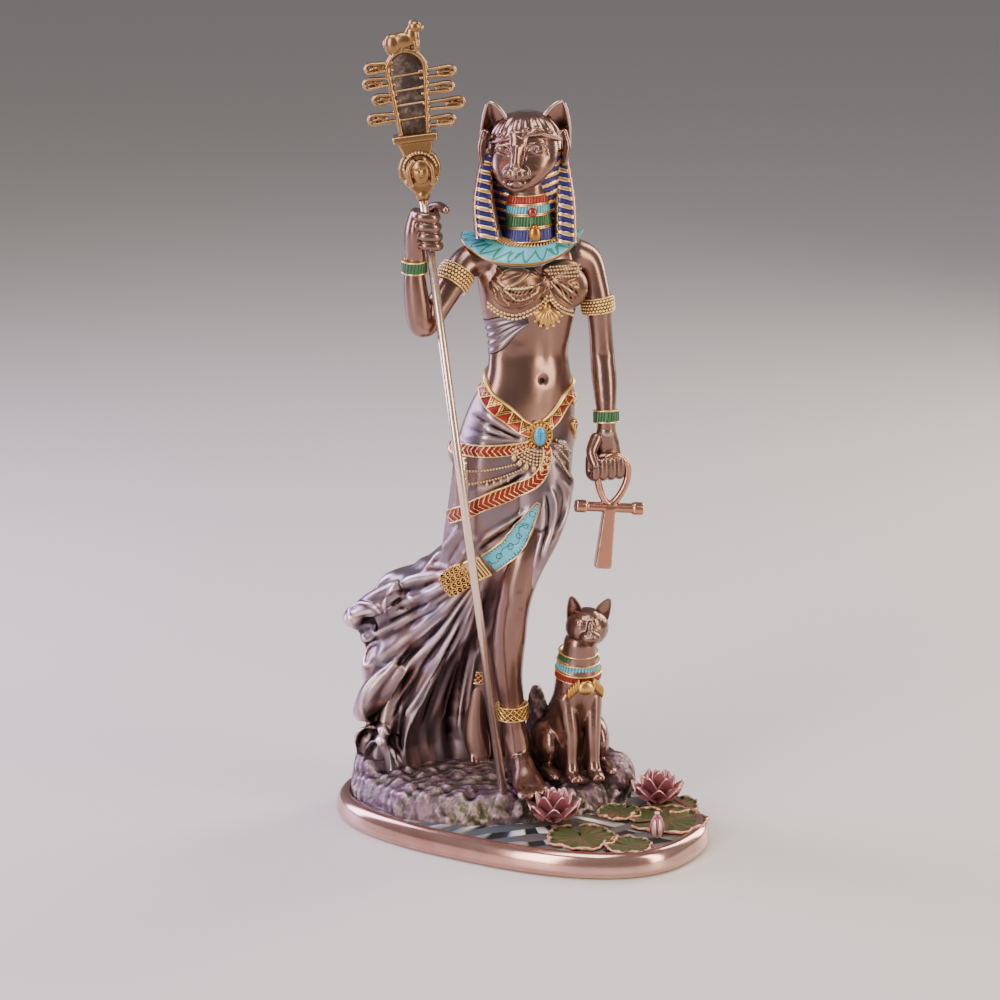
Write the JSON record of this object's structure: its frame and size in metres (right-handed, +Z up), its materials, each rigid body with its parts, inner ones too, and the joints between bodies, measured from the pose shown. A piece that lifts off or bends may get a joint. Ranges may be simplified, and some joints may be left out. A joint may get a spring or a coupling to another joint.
{
  "type": "cat goddess figurine",
  "caption": "Standing cat-headed goddess figurine on an oval lotus-pond base, holding a sistrum staff and an ankh, with a sitting cat at the side.",
  "frame": {"origin": "centre of the base's underside", "axes": "+Z up through the figure, -Y towards the viewer whom the figure faces, +X to that viewer's right"},
  "size_m": [0.1342, 0.111, 0.2912],
  "materials": {
    "bronze_resin": "resin with a bronze-powder skin, dark in its hollows, with turquoise, blue, green, red and gold bands",
    "staff_bronze": "the same bronze-powder resin, paler and more golden on the head",
    "ankh_copper": "polished pale copper"
  },
  "bodies": {
    "root": {"figure_and_base": "bronze_resin", "sistrum_staff": "staff_bronze", "ankh": "ankh_copper"}
  },
  "joints": []
}
